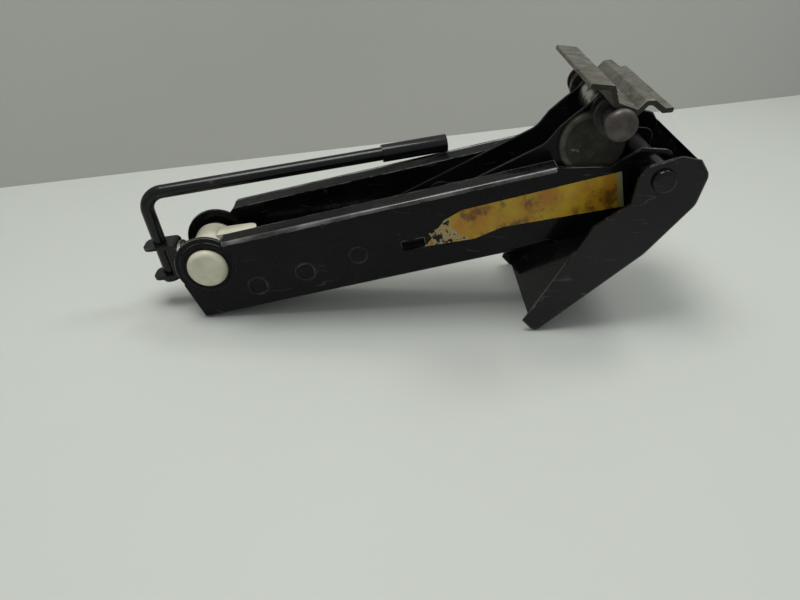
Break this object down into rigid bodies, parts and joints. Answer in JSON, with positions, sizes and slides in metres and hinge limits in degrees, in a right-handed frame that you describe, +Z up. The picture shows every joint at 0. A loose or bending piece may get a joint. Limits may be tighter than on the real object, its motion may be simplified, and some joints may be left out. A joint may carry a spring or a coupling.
{
  "type": "scissor jack",
  "caption": "Folded half-scissor lifting jack: a long channel arm with a nested lifting arm, hinged foot, grooved saddle, lead screw and swing-out crank.",
  "frame": {"origin": "Centre of the bounding box's footprint, on the ground that the folded jack lies on", "axes": "+X from the crank end towards the foot, +Y to the far side across the arm, +Z up"},
  "size_m": [0.3991, 0.1078, 0.1858],
  "materials": {
    "black_paint": "gloss",
    "zinc": "dull",
    "bare_steel": "satin",
    "cream_plastic": "satin",
    "label_film": "worn"
  },
  "bodies": {
    "arm": {"base_arm": "black_paint", "base_label": "label_film", "foot_pin": "black_paint", "foot_pin_sleeve": "bare_steel", "foot_spacers": "black_paint", "lower_link_pin": "black_paint", "lower_link_spacers": "bare_steel"},
    "foot": {"foot_shell": "black_paint"},
    "lift": {"lifting_arm": "black_paint", "head_cheeks": "zinc", "head_sleeve": "bare_steel", "upper_link_pin": "bare_steel"},
    "head": {"claw_plate": "zinc", "claw_lugs": "zinc", "head_pin": "zinc"},
    "trunnion": {"trunnion_block": "bare_steel", "trunnion_cover": "cream_plastic", "trunnion_washers": "bare_steel", "trunnion_caps": "cream_plastic"},
    "screw": {"lead_screw": "bare_steel", "thrust_bearing": "bare_steel", "thrust_washer": "bare_steel", "stop_collar": "bare_steel", "crank_clevis": "black_paint"},
    "crank": {"crank_rod": "black_paint", "crank_grip": "black_paint", "crank_washer": "black_paint"},
    "lower": {"lower_link": "black_paint"},
    "upper": {"upper_link": "black_paint"},
    "nut": {"trunnion_nut": "bare_steel"}
  },
  "joints": [
    {"name": "arm_lift", "type": "hinge", "parent": "arm", "child": "lift", "pos_m": [-0.14838, 0, 0.04592], "axis": [0, -1, 0], "range_deg": [0, 40]},
    {"name": "trunnion_swivel", "type": "hinge", "parent": "arm", "child": "trunnion", "pos_m": [-0.14838, 0, 0.04592], "axis": [0, -1, 0], "range_deg": [0, 20]},
    {"name": "screw_turn", "type": "hinge", "parent": "trunnion", "child": "screw", "pos_m": [-0.14838, 0, 0.04592], "axis": [0.9905, 0, 0.1374], "range_deg": [0, 70]},
    {"name": "crank_swing", "type": "hinge", "parent": "screw", "child": "crank", "pos_m": [-0.18602, 0, 0.0407], "axis": [-0.1374, 0, 0.9905], "range_deg": [-17, 171]},
    {"name": "foot_tilt", "type": "hinge", "parent": "arm", "child": "foot", "pos_m": [0.16872, 0, 0.12162], "axis": [0, -1, 0], "range_deg": [-14, 50]},
    {"name": "lower_link_turn", "type": "hinge", "parent": "arm", "child": "lower", "pos_m": [0.03139, 0, 0.05503], "axis": [0, -1, 0], "range_deg": [0, 50]},
    {"name": "upper_link_turn", "type": "hinge", "parent": "lift", "child": "upper", "pos_m": [0.02708, 0, 0.08611], "axis": [0, -1, 0], "range_deg": [-50, 0]},
    {"name": "nut_turn", "type": "hinge", "parent": "upper", "child": "nut", "pos_m": [0.15207, 0, 0.08761], "axis": [0, -1, 0], "range_deg": [0, 30]},
    {"name": "head_tilt", "type": "hinge", "parent": "lift", "child": "head", "pos_m": [0.13333, 0, 0.15968], "axis": [0, -1, 0], "range_deg": [-40, 42]}
  ],
  "couplings": [
    {"joint": "trunnion_swivel", "follows": "arm_lift", "ratio": 0.5},
    {"joint": "lower_link_turn", "follows": "arm_lift", "ratio": 1.25},
    {"joint": "upper_link_turn", "follows": "arm_lift", "ratio": -1.25},
    {"joint": "nut_turn", "follows": "arm_lift", "ratio": 0.75}
  ]
}
